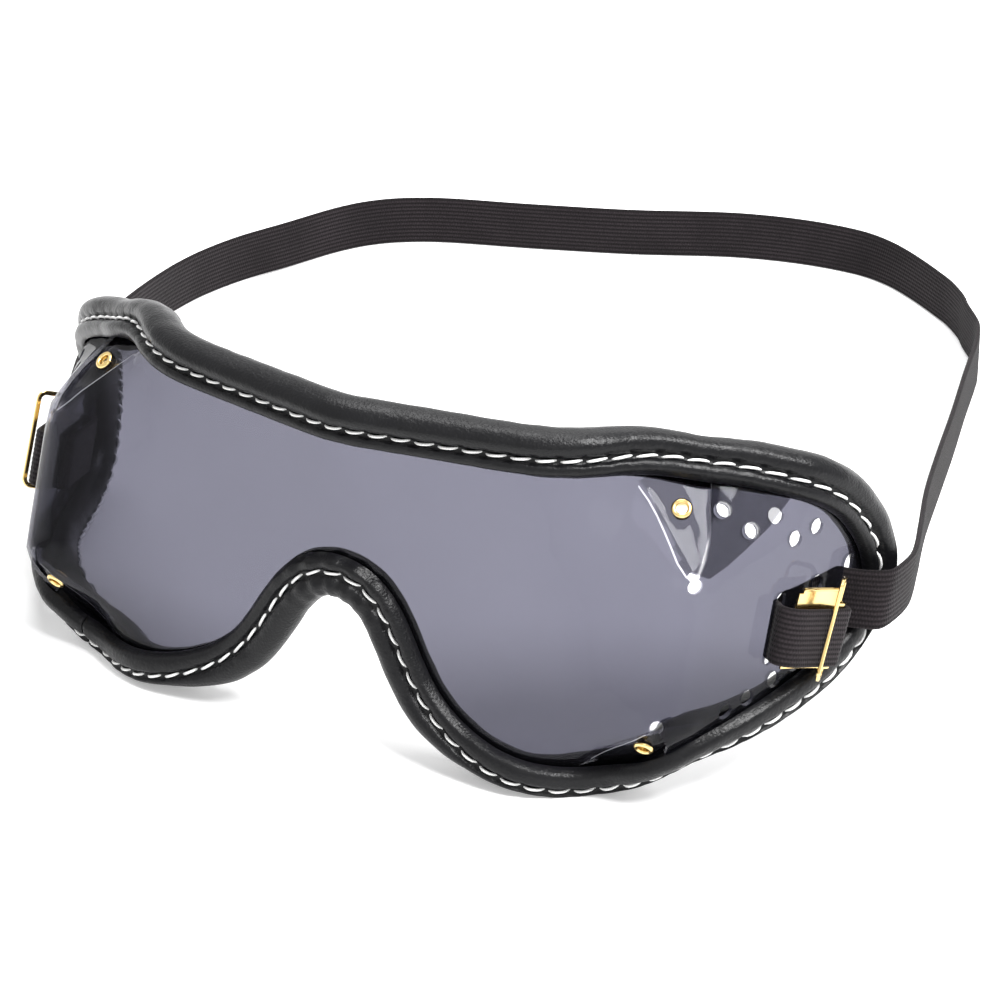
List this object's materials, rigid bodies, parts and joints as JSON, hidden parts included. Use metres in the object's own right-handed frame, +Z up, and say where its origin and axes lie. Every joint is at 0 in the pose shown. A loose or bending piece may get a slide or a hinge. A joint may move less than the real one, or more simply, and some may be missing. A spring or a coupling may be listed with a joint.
{
  "type": "wrap-around riding goggles",
  "caption": "Goggles with a folded one-piece smoke lens in a sewn padded trim, an elastic head strap and two hinged brass buckles.",
  "frame": {"origin": "centre of the bounding box, on the plane that the goggles rest on", "axes": "+Z up from the rest plane, -Y the way the wearer looks, +X the wearer's left"},
  "size_m": [0.2188, 0.2354, 0.076],
  "materials": {
    "smoke_lens": "glossy clear smoke-tinted plastic sheet",
    "leather": "fine-grained, satin",
    "foam": "open-cell foam, matt",
    "thread": "twisted sewing thread",
    "brass": "polished",
    "elastic": "woven elastic, matt"
  },
  "bodies": {
    "goggles": {"lens": "smoke_lens", "leather_cover": "leather", "foam_core": "foam", "needle_thread": "thread", "bobbin_thread": "thread", "eyelet_upper_left": "brass", "eyelet_lower_left": "brass", "eyelet_upper_right": "brass", "eyelet_lower_right": "brass", "strap": "elastic"},
    "tongue_left": {"buckle_tongue_left": "brass"},
    "frame_left": {"buckle_frame_left": "brass"},
    "tongue_right": {"buckle_tongue_right": "brass"},
    "frame_right": {"buckle_frame_right": "brass"}
  },
  "joints": [
    {"name": "buckle_slip_left", "type": "slide", "parent": "goggles", "child": "tongue_left", "axis": [-0.3666, -0.8626, 0.3486], "range_m": [0, 0.0004]},
    {"name": "frame_hinge_left", "type": "hinge", "parent": "tongue_left", "child": "frame_left", "pos_m": [0.10151, -0.07371, 0.02872], "axis": [0.0383, 0.4628, 0.8856], "range_deg": [-3, 89]},
    {"name": "buckle_slip_right", "type": "slide", "parent": "goggles", "child": "tongue_right", "axis": [0.288, -0.8879, 0.3587], "range_m": [0, 0.0004]},
    {"name": "frame_hinge_right", "type": "hinge", "parent": "tongue_right", "child": "frame_right", "pos_m": [-0.08147, -0.07222, 0.02135], "axis": [0.0301, -0.4653, -0.8846], "range_deg": [-21, 71]}
  ]
}
